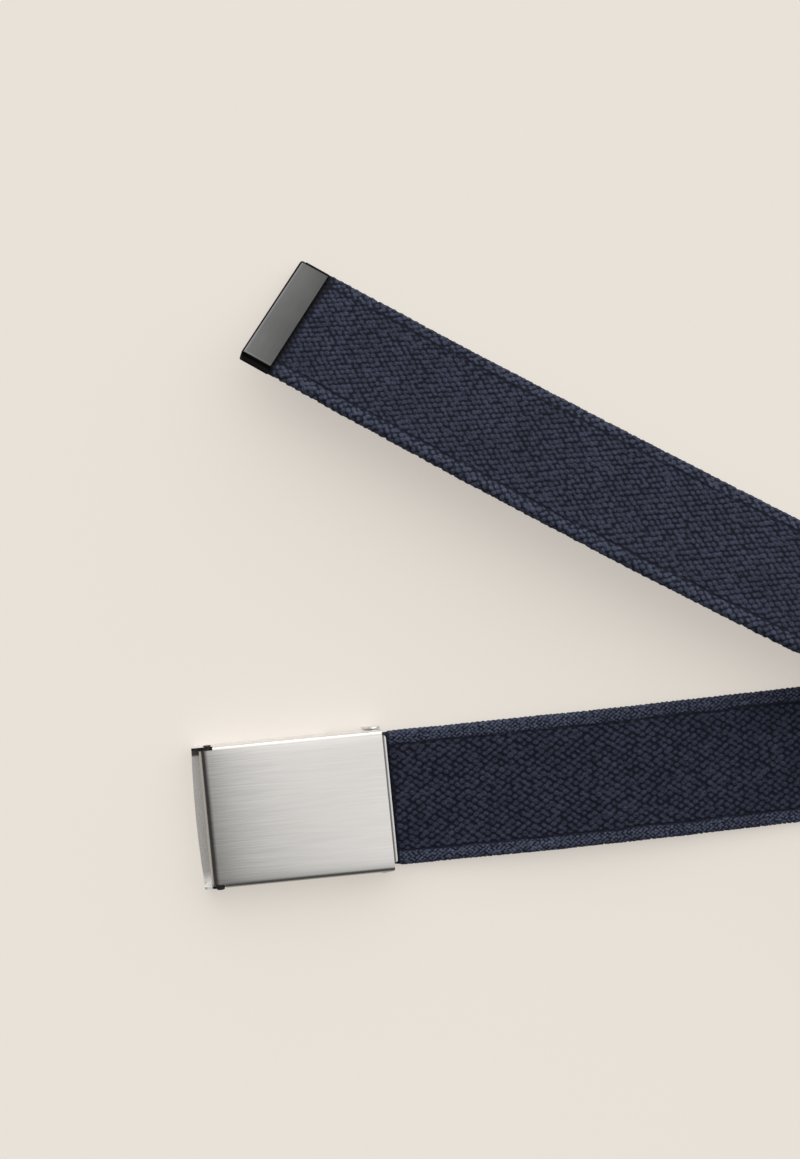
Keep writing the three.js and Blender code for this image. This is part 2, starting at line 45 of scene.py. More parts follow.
# Camera, straight over the table
CAMERA_PLACE = Vector((36.4, 62.33, 600.0)) * MM
CAMERA_TURN = math.radians(-5.65)
SENSOR_WIDTH = 36.0
LENS = 93.33
TABLE_GLOW = 0.6
SOFT_LIGHT_WAY = (0.3, 0.8, 0.5)

# Buckle: where the lid's plate turns down to the roll, half its width, and the tray floor's upper face
LID_ROLL_X = -23.6
BUCKLE_HALF_WIDTH = 20.2
FLOOR_TOP = 0.9
# How strongly the lid's plate is twisted: its height rises by this times x times y squared, in metres
LID_TWIST = 15.3

# Strap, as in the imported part: stretches with their length and their bend to the left at both ends
STRAP_START_X = 9.0
LOOP_BEND = -1 / 58
LEAD_BEND = math.radians(0.43) / 22
TAIL_BEND = math.radians(-2.46) / 151.6
STRAP_RUNS = [
    {"run": "clamped in the buckle", "length": 19, "start": 0, "end": 0},
    {"run": "leaving the buckle", "length": 22, "start": LEAD_BEND, "end": LEAD_BEND},
    {"run": "buckle strand", "length": 346.7, "start": 0, "end": 0},
    {"run": "into the loop", "length": 90, "start": 0, "end": LOOP_BEND},
    {"run": "round the loop", "length": 125.4, "start": LOOP_BEND, "end": LOOP_BEND},
    {"run": "out of the loop", "length": 90, "start": LOOP_BEND, "end": 0},
    {"run": "tail strand, crossing over", "length": 278.8, "start": 0, "end": 0},
    {"run": "tail strand, free end", "length": 151.6, "start": TAIL_BEND, "end": TAIL_BEND},
]
STRAP_LENGTH = sum(run["length"] for run in STRAP_RUNS)
LINE_STEP = 0.5
STRAP_WIDTH = 38.0
STRAP_THICK = 2.5
# Height of the lower edge over the table
STRAP_LIFT = [
    {"at": 0, "value": 1.4, "slope": 0},
    {"at": 19, "value": 1.4, "slope": 0},
    {"at": 76, "value": 4.2, "slope": 0},
    {"at": 150, "value": 0.2, "slope": 0},
    {"at": 770, "value": 0.2, "slope": 0},
    {"at": 818, "value": 3.4, "slope": 0},
    {"at": 915, "value": 3.4, "slope": 0},
    {"at": 1030, "value": 4, "slope": 0},
    {"at": STRAP_LENGTH, "value": 0.8, "slope": -0.02},
]
# Roll in degrees, 0 flat and 90 standing on its lower edge
STRAP_ROLL = [
    {"at": 0, "value": 0, "slope": 0},
    {"at": 238, "value": 0, "slope": 0},
    {"at": 440, "value": 90, "slope": 0},
    {"at": 668, "value": 90, "slope": 0},
    {"at": 974, "value": 24.6, "slope": 0.006},
    {"at": STRAP_LENGTH, "value": 28.6, "slope": 0.046},
]
CLAMP_END = 19.0
TIP_MOUTH = STRAP_LENGTH - 8.3
# The strap is modelled in stretches, in view with closer rows. Toward the tip its edges are woven coarser.
STRETCHES = [
    {"name": "webbing_at_buckle", "start": 0, "end": 78, "row": 0.3, "upper": 0.18, "edge": "fine"},
    {"name": "webbing_buckle_strand", "start": 78, "end": 160, "row": 0.3, "upper": 0.18, "edge": "fine"},
    {"name": "webbing_loop_near", "start": 160, "end": 415, "row": 0.65, "upper": 0.5, "edge": "fine"},
    {"name": "webbing_loop_middle", "start": 415, "end": 669, "row": 0.65, "upper": 0.5, "edge": "fine"},
    {"name": "webbing_loop_far", "start": 669, "end": 923, "row": 0.65, "upper": 0.5, "edge": "fine"},
    {"name": "webbing_tail_strand", "start": 923, "end": 1024, "row": 0.32, "upper": 0.18, "edge": "coarse"},
    {"name": "webbing_at_tip", "start": 1024, "end": STRAP_LENGTH, "row": 0.32, "upper": 0.18,
     "edge": "coarse"},
]

# Weave: warp floats in columns round the section, each over two picks, checkered. The picks lie closer
# together toward the tip, where the strap was beaten up more tightly.
PICK = 1.464
PICKS = [
    {"at": 0, "value": 1, "slope": 0},
    {"at": 940, "value": 1, "slope": 0},
    {"at": 985, "value": 0.98, "slope": -0.0008},
    {"at": 1054, "value": 0.91, "slope": -0.0008},
    {"at": STRAP_LENGTH, "value": 0.875, "slope": 0},
]
BODY_HALF = 15.2
BODY_COLUMNS = 31
FLAT_HALF = 17.75
EDGE_ARC = math.pi * 1.25
HALF_AROUND = 2 * FLAT_HALF + EDGE_ARC
CORE_FLAT = 17.85
CORE_RADIUS = 0.98
RELIEF = 0.46
# A float's half length in picks, its half width in columns and the power of its outline
FLOAT_HALF_LENGTH = 0.75
FLOAT_HALF_WIDTH = 0.92
FLOAT_POWER = 1.8
# The edge bands' columns on half of a turn, their own picks as a share of the body's, their unevenness and
# how much lighter they are than the body
EDGES = {
    "fine": {"columns": 17, "pick_share": 0.52, "loose": 2.2, "light": 1.0},
    "coarse": {"columns": 9, "pick_share": 0.95, "loose": 1.5, "light": 0.4},
}
# Least spacing round the lower half of the section, which is seldom seen
LOWER_SPACING = 0.7
GROOVE_DEPTH = 0.3
GROOVE_HALF_WIDTH = 0.42
BAND_CROWN = 0.2
# The strap is pinched where it goes in under the buckle's lip
LIP_EDGE = 18.85
PINCH_REACH = 0.5
PINCH_DEPTH = 0.35
# The weave flattens out over this length into the clamp
CLAMP_FADE = 2.4
CLAMPED_RELIEF = 0.35
# How far the edge bands' line wavers, where the band begins to show and the length over which it blends in
BAND_WAVER = 0.22
BAND_LEAD = 0.2
BAND_BLEND = 0.6
# Slow unevenness of both faces' height in mm and of the width as a share
FACE_UNEVENNESS = 0.07
WIDTH_UNEVENNESS = 0.004
# The tip: the strap is narrower inside it, from just past its mouth
IN_TIP_START = TIP_MOUTH + 0.05
IN_TIP_WIDTH = 34.6
TIP_LENGTH = 9.2
TIP_HALF_WIDTH = 18.9
TIP_PAST_STRAP = 0.9
# The black of the tip's ends reaches further over the face at its lower end
TIP_BLACK_SHIFT = 0.5
# Stretches of the strap painted with shade from the tip's face and, in its mouth, with a black painted shadow
TIP_SHADE_REACH = 1.2
TIP_PAINTED_SHADOW_REACH = 1.0

# Bump of the finishes, in metres
FIBRE_BUMP = 0.00012
BRUSH_BUMP = 0.0000002
POLISH_BUMP = 0.000004
GRAIN_BUMP = 0.000005
SCRATCH_BUMP = 0.000002

# Metal pieces: corners closer than this are joined, faces flatter than this are one, and edges sharper than
# this are eased by a bevel and kept hard
WELD_REACH = 0.000002
FLAT_ANGLE = math.radians(0.6)
EASED_ANGLE = math.radians(40)
HARD_ANGLE = math.radians(32)
EASED_EDGES = {
    "buckle_lid": 0.00012,
    "buckle_frame": 0.00012,
    "clamp_jaw": 0.0001,
    "lid_pin": 0.00008,
    "tip_ferrule": 0.00012,
}

# Table: half its side, and how far it lies below zero
TABLE_HALF = 4.0
TABLE_DROP = 0.0001


# Shader maths

class Value:
    """A shader socket that takes part in Python arithmetic: each operation adds a Math node."""

    def __init__(self, finish, socket):
        self.finish = finish
        self.socket = socket

    def math(self, operation, *others, **settings):
        inputs = dict(enumerate((self, *others)))
        return self.finish.node("ShaderNodeMath", {"operation": operation, **settings}, inputs)

    def reflected(self, operation, other):
        return self.finish.node("ShaderNodeMath", {"operation": operation}, {0: other, 1: self})

    def __add__(self, other):
        return self.math("ADD", other)

    __radd__ = __add__

    def __mul__(self, other):
        return self.math("MULTIPLY", other)

    __rmul__ = __mul__

    def __sub__(self, other):
        return self.math("SUBTRACT", other)

    def __rsub__(self, other):
        return self.reflected("SUBTRACT", other)

    def __truediv__(self, other):
        return self.math("DIVIDE", other)

    def smooth(self, low, high):
        """0 below low, 1 above high and an S curve between."""
        inputs = {"Value": self, "From Min": low, "From Max": high}
        return self.finish.node("ShaderNodeMapRange", {"interpolation_type": "SMOOTHSTEP"}, inputs)

    def clamped(self):
        return self.math("ADD", 0.0, use_clamp=True)


class Finish:
    """A tree of nodes, a new material's unless another is given, with one method that makes any node."""

    def __init__(self, name, tree=None):
        self.material = None
        if tree is None:
            self.material = bpy.data.materials.new(name)
            self.material.use_nodes = True
            tree = self.material.node_tree
        self.tree = tree
        self.tree.nodes.clear()

    def node(self, kind, settings=None, inputs=None, output=0):
        """Makes a node, sets its settings first and then its sockets' values or links."""
        made = self.tree.nodes.new(kind)
        for name, value in (settings or {}).items():
            setattr(made, name, value)
        for name, value in (inputs or {}).items():
            if isinstance(value, Value):
                self.tree.links.new(value.socket, made.inputs[name])
            else:
                made.inputs[name].default_value = value
        return Value(self, made.outputs[output]) if made.outputs else None

    def part(self, vector, axis):
        """One coordinate of a vector: 0, 1 and 2 are its X, Y and Z."""
        return self.node("ShaderNodeSeparateXYZ", None, {0: vector}, output=axis)

    def attribute(self, name):
        return self.node("ShaderNodeAttribute", {"attribute_name": name}, output=2)

    def mix(self, factor, first, second, blend="MIX"):
        inputs = {0: factor, 6: first, 7: second}
        return self.node("ShaderNodeMix", {"data_type": "RGBA", "blend_type": blend}, inputs, output=2)

    def scaled(self, vector, factors):
        return self.node("ShaderNodeVectorMath", {"operation": "MULTIPLY"}, {0: vector, 1: factors})

    def dot(self, vector, way):
        settings = {"operation": "DOT_PRODUCT"}
        return self.node("ShaderNodeVectorMath", settings, {0: vector, 1: tuple(way)}, output=1)

    def noise(self, vector, scale, detail=2.0, roughness=0.5, distortion=0.0):
        inputs = {"Vector": vector, "Scale": scale, "Detail": detail}
        inputs |= {"Roughness": roughness, "Distortion": distortion}
        return self.node("ShaderNodeTexNoise", None, inputs)

    def fall(self, distance, deep, reach):
        """Height that falls toward distance 0 by an exponential curve, deep millimetres in all."""
        return (distance / (-reach * MM)).math("EXPONENT") * (-deep * MM)

    def bump(self, height, distance, normal=None):
        """Normal tilted by a height, which is multiplied by the distance to give metres."""
        inputs = {"Distance": distance, "Height": height}
        if normal is not None:
            inputs["Normal"] = normal
        return self.node("ShaderNodeBump", None, inputs)

    def surface(self, inputs):
        shader = self.node("ShaderNodeBsdfPrincipled", None, inputs)
        self.node("ShaderNodeOutputMaterial", None, {"Surface": shader})
        return self.material


def grey(value):
    return (value, value, value, 1.0)


# Materials

def webbing_finish():
    """Navy cotton: painted shade between the warp floats and a painted highlight on their crowns, as a dark
    and a lit copy of the navy, each float its own tone, the bands along the edges lighter and bluer, with
    fine fibres running along the yarn. Under the edge of the tip, where the painted shade mask is below zero,
    the cloth is painted black as the tip's shadow."""
    cloth = Finish("navy_cotton_webbing")
    painted_relief_shade = cloth.attribute("painted_relief_shade")
    tone = cloth.attribute("tone")
    band = cloth.attribute("band")
    place = cloth.node("ShaderNodeUVMap", {"uv_map": "strap"})
    twisted = {0: cloth.dot(place, (2300.0, 1100.0, 0.0)), 1: cloth.dot(place, (-500.0, 1000.0, 0.0))}
    fibres = cloth.noise(cloth.node("ShaderNodeCombineXYZ", None, twisted), 1.0, 3.0, 0.65, 0.6)
    patches = cloth.noise(cloth.scaled(place, (90.0, 60.0, 0.0)), 1.0, 3.0, 0.5)
    # Painted light and shade: the floats' crowns are lit and the hollows between them shaded in the colour,
    # by mixing a lit and a dark copy of the navy
    crown = painted_relief_shade.smooth(0.4, 0.9)
    painted_crown_light_and_fibres = (crown * (0.5 + tone * 0.4) + (fibres - 0.5) * 2.8 * (0.15 + crown)).clamped()
    body = cloth.mix(painted_crown_light_and_fibres, (0.0042, 0.0052, 0.0118, 1.0), (0.034, 0.0405, 0.068, 1.0))
    edge = cloth.mix(painted_crown_light_and_fibres, (0.0105, 0.013, 0.0245, 1.0), (0.071, 0.0845, 0.132, 1.0))
    woven = cloth.mix(band, body, edge)
    shade = cloth.mix(patches.smooth(0.3, 0.7), grey(0.88), grey(1.1))
    # Painted shadow: where the painted shade mask falls below zero, under the tip's edge, the colour goes to
    # black
    colour = cloth.mix(1.0, woven, shade * (1 + painted_relief_shade).clamped(), "MULTIPLY")
    return cloth.surface({
        "Base Color": colour,
        "Roughness": 0.92,
        "Specular IOR Level": 0.2,
        "Sheen Weight": 0.06,
        "Sheen Roughness": 0.5,
        "Sheen Tint": (0.6, 0.68, 0.9, 1.0),
        "Normal": cloth.bump(fibres, FIBRE_BUMP),
    })


def lid_finish():
    """Nickel brushed along the buckle: fine short scratches that shade it and tilt its normal a little. The
    plate is slightly crowned: it falls off by an exponential curve toward the roll at its left end and toward
    its two long edges, and it is twisted a little. Painted reflection darkens the roll's top and the band
    along the near long edge, and dims the highlight by the far long edge."""
    metal = Finish("brushed_nickel_lid")
    place = metal.node("ShaderNodeTexCoord", output=3)
    fine = metal.noise(metal.scaled(place, (55.0, 3000.0, 3000.0)), 1.0, 2.0, 0.6)
    cloudy = metal.noise(place, 60.0, 2.0)
    wear = (fine * 0.85 + cloudy * 0.15).smooth(0.3, 0.7)
    x = metal.part(place, 0)
    y = metal.part(place, 1)
    scratched = 0.5 + (wear - 0.5) * (1 - x.smooth(-18 * MM, 10 * MM) * 0.5)
    brushed = metal.mix(scratched, (0.818, 0.804, 0.784, 1.0), (0.927, 0.911, 0.889, 1.0))
    # Painted reflection: darker on the roll's top, a little lighter again past it at the far left, darker
    # along the near long edge and dimmed by the far long edge
    painted_reflection_shade = x.smooth(-24.1 * MM, -22.8 * MM) * 0.75 + (1 - x.smooth(-25.2 * MM, -24.4 * MM)) * 0.25 + 0.25
    painted_reflection_shade = painted_reflection_shade * (y.smooth(-19.6 * MM, -18.6 * MM) * 0.65 + 0.35)
    painted_reflection_shade = painted_reflection_shade * (1 - y.smooth(18.7 * MM, 19.4 * MM) * (1 - y.smooth(19.6 * MM, 20 * MM)) * 0.4)
    from_roll = (x - LID_ROLL_X * MM).math("MAXIMUM", -1.5 * MM)
    from_far = BUCKLE_HALF_WIDTH * MM - y
    from_near = BUCKLE_HALF_WIDTH * MM + y
    edges = metal.fall(from_far, 0.1, 1.3) + metal.fall(from_near, 0.22, 1.3)
    crowned = metal.bump(metal.fall(from_roll, 2.13, 10.4) + edges + x * y * y * LID_TWIST, 1.0)
    return metal.surface({
        "Base Color": metal.mix(1.0, brushed, painted_reflection_shade, "MULTIPLY"),
        "Metallic": 1.0,
        "Roughness": 0.22 + (wear - 0.5) * 0.06,
        "Normal": metal.bump(fine, BRUSH_BUMP, crowned),
    })


def polished_finish(name, low, high, roughness):
    """Plated metal with a faint orange-peel grain and slight cloudiness."""
    metal = Finish(name)
    place = metal.node("ShaderNodeTexCoord", output=3)
    grain = metal.noise(place, 2600.0, 3.0, 0.6)
    cloudy = metal.noise(place, 90.0, 2.0)
    colour = metal.mix((grain * 0.6 + cloudy * 0.4).smooth(0.3, 0.7), low, high)
    return metal.surface({
        "Base Color": colour,
        "Metallic": 1.0,
        "Roughness": roughness + (cloudy - 0.5) * 0.1,
        "Normal": metal.bump(grain, POLISH_BUMP),
    })


def frame_finish():
    """Plated steel in zones: bright and polished outside, satin on the walls' inner faces, painted black as
    shade and dark reflection in the lid pin's ears and on the shoulder of one wall, a painted shadow on the
    deck behind the lid's end, and a duller fine grain on the floor's upper face, with a painted shadow at its
    far end and painted light at its near end."""
    metal = Finish("plated_frame")
    place = metal.node("ShaderNodeTexCoord", output=3)
    way = metal.node("ShaderNodeTexCoord", output=1)
    grain = metal.noise(place, 3200.0, 3.0, 0.7)
    cloudy = metal.noise(place, 90.0, 2.0)
    x = metal.part(place, 0)
    y = metal.part(place, 1)
    z = metal.part(place, 2)
    above_floor = z.smooth((FLOOR_TOP + 0.1) * MM, (FLOOR_TOP + 0.3) * MM)
    floor = (1 - above_floor) * metal.part(way, 2).smooth(0.7, 0.95)
    inner = (0 - y * metal.part(way, 1)).smooth(0.012, 0.017)
    # Painted shade: the top of one wall's shoulder and the ears for the lid pin are painted black, standing
    # in for shade and dark reflection
    shoulder = z.smooth(8.3 * MM, 8.5 * MM) * y.smooth(18 * MM, 19 * MM)
    black = (shoulder + z.smooth(8.9 * MM, 9.1 * MM)).clamped()
    rubbed = metal.mix(grain.smooth(0.25, 0.75), (0.37, 0.36, 0.346, 1.0), (0.6, 0.585, 0.566, 1.0))
    # Painted light and shadow on the floor: lighter toward the near wall, and a dark patch by the far wall
    # where its shadow falls
    ends = 1 + (0 - y).smooth(16 * MM, 19.2 * MM) * 0.6 - y.smooth(17 * MM, 17.8 * MM) * 0.85
    # Painted shadow: the deck between the lid's end and the lip is darkened as if shaded by the lid above it
    painted_shadow_behind_lid = x.smooth(26.5 * MM, 26.8 * MM) * (1 - x.smooth(27.3 * MM, 27.5 * MM)) * above_floor
    shine = metal.mix((grain * 0.5 + cloudy * 0.5).smooth(0.3, 0.7), grey(0.78), grey(0.88))
    # Painted shade: the satin colour takes in the painted black and the painted shadow behind the lid
    satin = metal.mix(black, metal.mix(inner, shine, grey(0.88)), grey(0.03))
    satin = metal.mix(painted_shadow_behind_lid, satin, (0.3, 0.28, 0.265, 1.0))
    return metal.surface({
        "Base Color": metal.mix(floor, satin, metal.mix(1.0, rubbed, ends, "MULTIPLY")),
        "Metallic": 1 - inner * 0.7,
        "Roughness": 0.3 + floor * 0.14 + inner * 0.2,
        "Normal": metal.bump(grain, GRAIN_BUMP),
    })


def tip_finish():
    """Gunmetal brushed across the strap on the face, with a painted highlight where the face rounds into its
    eased edges and a painted reflection darker toward the mouth, and glossy black on every side."""
    metal = Finish("gunmetal_tip")
    middle, wide, face = strap_frames(np.array([STRAP_LENGTH]))
    forward = np.cross(wide[0], face[0])
    mouth = float(middle[0] @ forward) + TIP_PAST_STRAP - TIP_LENGTH
    place = metal.node("ShaderNodeTexCoord", output=3)
    way = metal.node("ShaderNodeTexCoord", output=1)
    upright = metal.dot(way, face[0])
    along_wide = metal.dot(place, wide[0])
    from_middle = (along_wide - (float(middle[0] @ wide[0]) + TIP_BLACK_SHIFT) * MM).math("ABSOLUTE")
    at_end = from_middle.smooth((TIP_HALF_WIDTH - 0.95) * MM, (TIP_HALF_WIDTH - 0.7) * MM)
    side = (1 - upright.smooth(0.87, 0.95) + at_end).clamped()
    # Painted highlight: the face is lighter where it begins to round over into its eased edges
    painted_edge_highlight = (1 - upright.smooth(0.985, 0.998)) * upright.smooth(0.93, 0.97)
    along_forward = metal.dot(place, forward)
    outward = (along_forward - mouth * MM) / (TIP_LENGTH * MM)
    brushing = metal.node("ShaderNodeCombineXYZ", None, {0: along_wide * 120.0, 1: along_forward * 7000.0})
    scratches = metal.noise(brushing, 1.0, 4.0, 0.7)
    cloudy = metal.noise(place, 70.0, 2.0)
    wear = (scratches * 0.6 + cloudy * 0.4).smooth(0.3, 0.7)
    brushed = metal.mix(wear, (0.054, 0.054, 0.0545, 1.0), (0.074, 0.074, 0.0745, 1.0))
    # Painted reflection: the face is darker toward the mouth and lighter toward its outer end, with the
    # painted highlight along its edges
    brushed_with_painted_light = metal.mix(1.0, brushed, (0.75 + outward * 0.5) * (1 + painted_edge_highlight * 0.5), "MULTIPLY")
    colour = metal.mix(side, brushed_with_painted_light, (0.004, 0.004, 0.0044, 1.0))
    return metal.surface({
        "Base Color": colour,
        "Metallic": 1 - side,
        "Roughness": 0.34 + (wear - 0.5) * 0.08 - side * 0.16,
        "Specular IOR Level": 0.02,
        "Normal": metal.bump(scratches * (1 - side), SCRATCH_BUMP),
    })


def table_finish():
    """Pale warm card with a barely visible mottling, lit in part from below, which keeps shadows light."""
    card = Finish("pale_table")
    place = card.node("ShaderNodeTexCoord", output=3)
    mottle = card.noise(place, 6.0, 3.0)
    colour = card.mix(mottle, (0.322, 0.302, 0.278, 1.0), (0.332, 0.312, 0.288, 1.0))
    return card.surface({
        "Base Color": colour,
        "Roughness": 0.9,
        "Specular IOR Level": 0.05,
        "Emission Color": (0.812, 0.757, 0.69, 1.0),
        "Emission Strength": TABLE_GLOW,
    })


# Strap geometry

def through(stops, at):
    """Cubic curve through a table's stops, by Hermite's formula on each stretch between two stops."""
    places = np.array([stop["at"] for stop in stops], float)
    values = np.array([stop["value"] for stop in stops], float)
    slopes = np.array([stop["slope"] for stop in stops], float)
    index = np.clip(np.searchsorted(places, at, "right") - 1, 0, len(stops) - 2)
    length = places[index + 1] - places[index]
    t = np.clip((at - places[index]) / length, 0, 1)
    toward = 3 * t**2 - 2 * t**3
    from_slopes = (t**3 - 2 * t**2 + t) * slopes[index] + (t**3 - t**2) * slopes[index + 1]
    return values[index] + (values[index + 1] - values[index]) * toward + length * from_slopes


def follow_runs():
    """The strap's middle line in plan: the bend is summed to a heading, the heading's steps to a place."""
    strides = []
    turns = []
    for run in STRAP_RUNS:
        count = round(run["length"] / LINE_STEP)
        share = (np.arange(count) + 0.5) / count
        stride = run["length"] / count
        strides.append(np.full(count, stride))
        turns.append((run["start"] + (run["end"] - run["start"]) * share) * stride)
    stride = np.concatenate(strides)
    turn = np.concatenate(turns)
    heading = np.concatenate([[0], np.cumsum(turn)])
    middle = heading[:-1] + turn / 2
    s = np.concatenate([[0], np.cumsum(stride)])
    x = STRAP_START_X + np.concatenate([[0], np.cumsum(np.cos(middle) * stride)])
    y = np.concatenate([[0], np.cumsum(np.sin(middle) * stride)])
    return s, x, y, heading


STRAP_LINE = follow_runs()


def strap_height(at):
    """Height of the middle line: the lower edge's, plus half of the section's own height."""
    roll = np.radians(through(STRAP_ROLL, at))
    return through(STRAP_LIFT, at) + (STRAP_WIDTH * np.sin(roll) + STRAP_THICK * np.cos(roll)) / 2


def strap_frames(at):
    """Middle, across and out-of-face directions at each distance along the strap: the heading in plan and
    the height's slope give the way forward, and the roll turns the section about it."""
    s, x, y, heading = STRAP_LINE
    angle = np.interp(at, s, heading)
    roll = np.radians(through(STRAP_ROLL, at))
    rise = (strap_height(at + LINE_STEP) - strap_height(at - LINE_STEP)) / (2 * LINE_STEP)
    forward = np.stack([np.cos(angle), np.sin(angle), rise], 1)
    forward /= np.linalg.norm(forward, axis=1, keepdims=True)
    left = np.stack([-np.sin(angle), np.cos(angle), np.zeros_like(angle)], 1)
    up = np.cross(forward, left)
    wide = left * np.cos(roll)[:, None] + up * np.sin(roll)[:, None]
    face = np.cross(forward, wide)
    middle = np.stack([np.interp(at, s, x), np.interp(at, s, y), strap_height(at)], 1)
    return middle, wide, face


def around_section(p):
    """The core's section, a stadium, from the distance p round it: 0 is the upper face's middle, and each
    half turn has one flat face and one half-round edge."""
    turn = np.round(p / HALF_AROUND)
    local = p - turn * HALF_AROUND
    lower = np.where(np.abs(turn) % 2 == 1, -1.0, 1.0)
    past = np.clip(np.abs(local) - FLAT_HALF, 0, EDGE_ARC / 2)
    angle = past / (EDGE_ARC / 2) * (math.pi / 2)
    side = np.sign(local)
    flat = np.clip(np.abs(local), 0, FLAT_HALF) / FLAT_HALF * CORE_FLAT
    across = side * (flat + CORE_RADIUS * np.sin(angle)) * lower
    out = CORE_RADIUS * np.cos(angle) * lower
    return across, out, side * np.sin(angle) * lower, np.cos(angle) * lower


def column_of(p, edge_columns):
    """Weave column round the section: the body of each face has its own columns, and the bands along the
    edges and round them have theirs."""
    turn = np.round(p / HALF_AROUND)
    local = p - turn * HALF_AROUND
    body = np.clip(local, -BODY_HALF, BODY_HALF) / BODY_HALF * (BODY_COLUMNS / 2)
    band_half = HALF_AROUND / 2 - BODY_HALF
    band = (np.abs(local) - BODY_HALF).clip(0) / band_half * (edge_columns / 2)
    return body + np.sign(local) * band + turn * (BODY_COLUMNS + edge_columns)


def ripple(s, lengths, seed):
    """Smooth unevenness along the strap: a few sines of given wave lengths in mm with seeded phases."""
    phases = np.random.default_rng(seed).uniform(0, 2 * math.pi, len(lengths))
    waves = (np.sin(2 * math.pi * s / length + phase) for length, phase in zip(lengths, phases))
    return sum(waves) / len(lengths)


class Weave:
    """Warp floats on a checkered lattice, each a rounded nub with its own shift, slant and shade."""

    def __init__(self, seed, pick_share, loose, columns):
        random = np.random.default_rng(seed)
        self.s = np.arange(0, STRAP_LENGTH + LINE_STEP, LINE_STEP)
        passed = LINE_STEP / (PICK * pick_share * through(PICKS, self.s))
        self.count = np.concatenate([[0], np.cumsum(passed[:-1])])
        shape = (2 * (BODY_COLUMNS + columns), int(self.count[-1] / 2) + 4)
        self.along = random.normal(0, 0.08 * loose, shape)
        self.across = random.normal(0, 0.07 * loose, shape)
        self.slant = random.normal(0, 0.14 * loose, shape)
        self.size = random.normal(1, 0.13, shape)
        self.shade = np.clip(random.normal(0.5, 0.2, shape), 0, 1)

    def height(self, s, column):
        """Highest float at each point, and that float's shade. A float's height is the root of 1 minus the
        sum of its two distances from its middle, in its own half length and half width, each to the float's
        power, which rounds it between a rhomb and an ellipse. The way along the strap is counted in picks."""
        passed = np.interp(s, self.s, self.count)
        best = np.zeros(np.broadcast(s, column).shape)
        shade = np.full(best.shape, 0.5)
        columns = self.along.shape[0]
        for shift in (-1, 0, 1):
            near = np.floor(column + 0.5).astype(int) + shift
            phase = near % 2
            row = np.round((passed - phase) / 2).astype(int)
            pick = (near % columns, np.clip(row, 0, self.along.shape[1] - 1))
            from_pick = passed - (2 * row + phase) - self.along[pick]
            from_column = column - near - self.across[pick] - self.slant[pick] * from_pick
            reach = np.abs(from_pick / FLOAT_HALF_LENGTH) ** FLOAT_POWER
            reach += np.abs(from_column / FLOAT_HALF_WIDTH) ** FLOAT_POWER
            dome = np.sqrt(np.clip(1 - reach / self.size[pick], 0, 1)) * (0.8 + 0.2 * self.size[pick])
            higher = dome > best
            best = np.where(higher, dome, best)
            shade = np.where(higher, self.shade[pick], shade)
        return best, shade


WEAVES = {}
for kind, edge in EDGES.items():
    body_weave = Weave(seed=7, pick_share=1.0, loose=1.5, columns=edge["columns"])
    edge_weave = Weave(seed=8, pick_share=edge["pick_share"], loose=edge["loose"], columns=edge["columns"])
    WEAVES[kind] = (body_weave, edge_weave)


